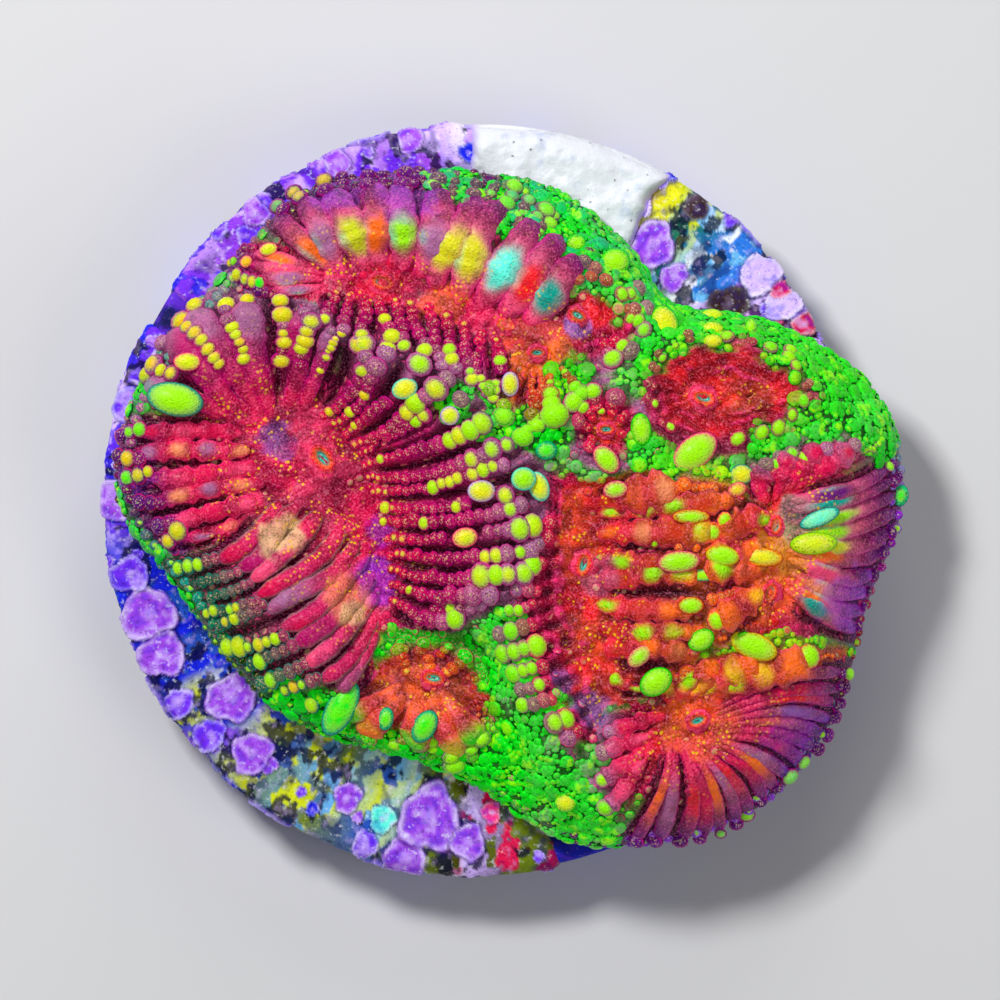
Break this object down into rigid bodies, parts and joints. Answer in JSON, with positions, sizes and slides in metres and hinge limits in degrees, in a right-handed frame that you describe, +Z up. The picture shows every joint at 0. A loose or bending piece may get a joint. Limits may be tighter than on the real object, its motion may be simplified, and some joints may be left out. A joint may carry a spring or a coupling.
{
  "type": "brain coral on a frag disc",
  "caption": "Lobed brain coral colony with beaded, radiating septa, grown over a round frag disc that also carries a pad of reef glue and coralline crusts.",
  "frame": {"origin": "centre of the disc's flat underside", "axes": "+Z up through the disc and colony, +X towards the side where the colony overhangs the disc, +Y towards the glue pad"},
  "size_m": [0.0533, 0.05, 0.0153],
  "materials": {
    "disc": "rough unglazed ceramic under a thin violet algal film",
    "coral": "wet living tissue over skeleton: crimson septa, yellow-green bead tips, green ridges",
    "glue": "white cured reef glue, softly lumpy",
    "coralline": "violet coralline plates with pale rims, mixed with yellow and blue-green growths"
  },
  "bodies": {
    "root": {"frag_disc": "disc", "coral_colony": "coral", "glue_pad": "glue", "crust_back": "coralline", "crust_right": "coralline", "crust_front": "coralline"}
  },
  "joints": []
}
